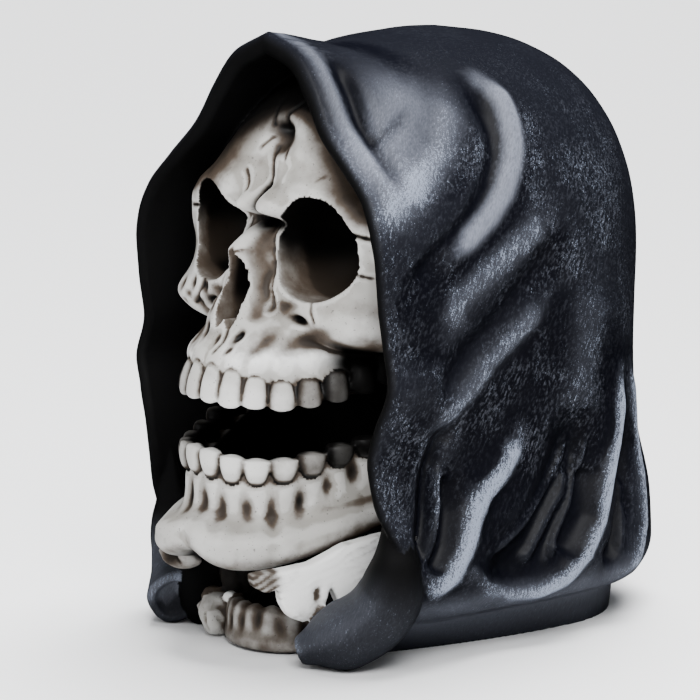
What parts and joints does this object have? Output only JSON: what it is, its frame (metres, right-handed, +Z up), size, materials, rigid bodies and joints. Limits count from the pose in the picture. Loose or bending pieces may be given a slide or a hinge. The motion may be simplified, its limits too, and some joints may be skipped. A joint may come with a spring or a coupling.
{
  "type": "grim reaper figurine",
  "caption": "Shelf figurine of a shouting skull in a draped cowl, cast as one piece with jaws apart and painted in bone and satin black.",
  "frame": {"origin": "middle of the bounding box at the floor, under the figurine", "axes": "+Z up; the face looks along -Y; +X is the figure's left side"},
  "size_m": [0.0946, 0.1318, 0.14],
  "materials": {
    "painted_resin": "cast resin painted satin black with grey dry brushing on the cowl, and bone with a brown wash on the skull"
  },
  "bodies": {
    "root": {"grim_reaper_head": "painted_resin"}
  },
  "joints": []
}
